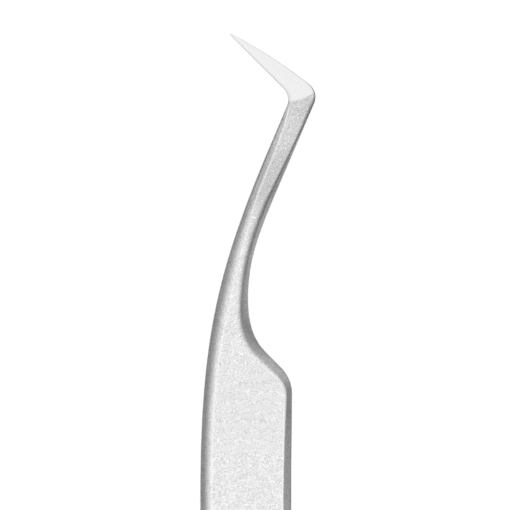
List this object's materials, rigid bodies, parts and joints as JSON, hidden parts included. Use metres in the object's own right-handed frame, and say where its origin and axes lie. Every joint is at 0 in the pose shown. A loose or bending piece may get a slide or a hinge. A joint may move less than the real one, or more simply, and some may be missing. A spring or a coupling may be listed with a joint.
{
  "type": "bent-tip precision tweezers",
  "caption": "Spring-steel tweezers with broad flat grips, a narrow neck swept to one side and fine tips bent back across it, sprung open from a spot-welded heel.",
  "frame": {"origin": "centre of the flat outer face of the lower arm's grip, which the tweezers rest on", "axes": "+Y from the heel to the tips, +Z the way the arms open, +X across the flats towards the elbow's side"},
  "size_m": [0.0121, 0.124, 0.0134],
  "materials": {
    "arm_steel": "fine bead-blasted stainless steel, polished bright ahead of the elbow",
    "spacer_steel": "plain blanked stainless steel",
    "weld_steel": "pressed and fused stainless steel, a little heat-tinted"
  },
  "bodies": {
    "heel": {"heel_spacer": "spacer_steel", "upper_heel": "arm_steel", "lower_heel": "arm_steel", "weld_nuggets": "weld_steel"},
    "upper_arm": {"upper_arm": "arm_steel"},
    "lower_arm": {"lower_arm": "arm_steel"}
  },
  "joints": [
    {"name": "upper_flex", "type": "hinge", "parent": "heel", "child": "upper_arm", "pos_m": [0, -0.042, 0.00892], "axis": [-1, 0, 0], "range_deg": [0, 2.2], "stiffness_Nm_per_rad": 1.2},
    {"name": "lower_flex", "type": "hinge", "parent": "heel", "child": "lower_arm", "pos_m": [0, -0.042, 0.00448], "axis": [1, 0, 0], "range_deg": [0, 2.2], "stiffness_Nm_per_rad": 1.2}
  ],
  "couplings": [
    {"joint": "lower_flex", "follows": "upper_flex", "ratio": 1}
  ]
}
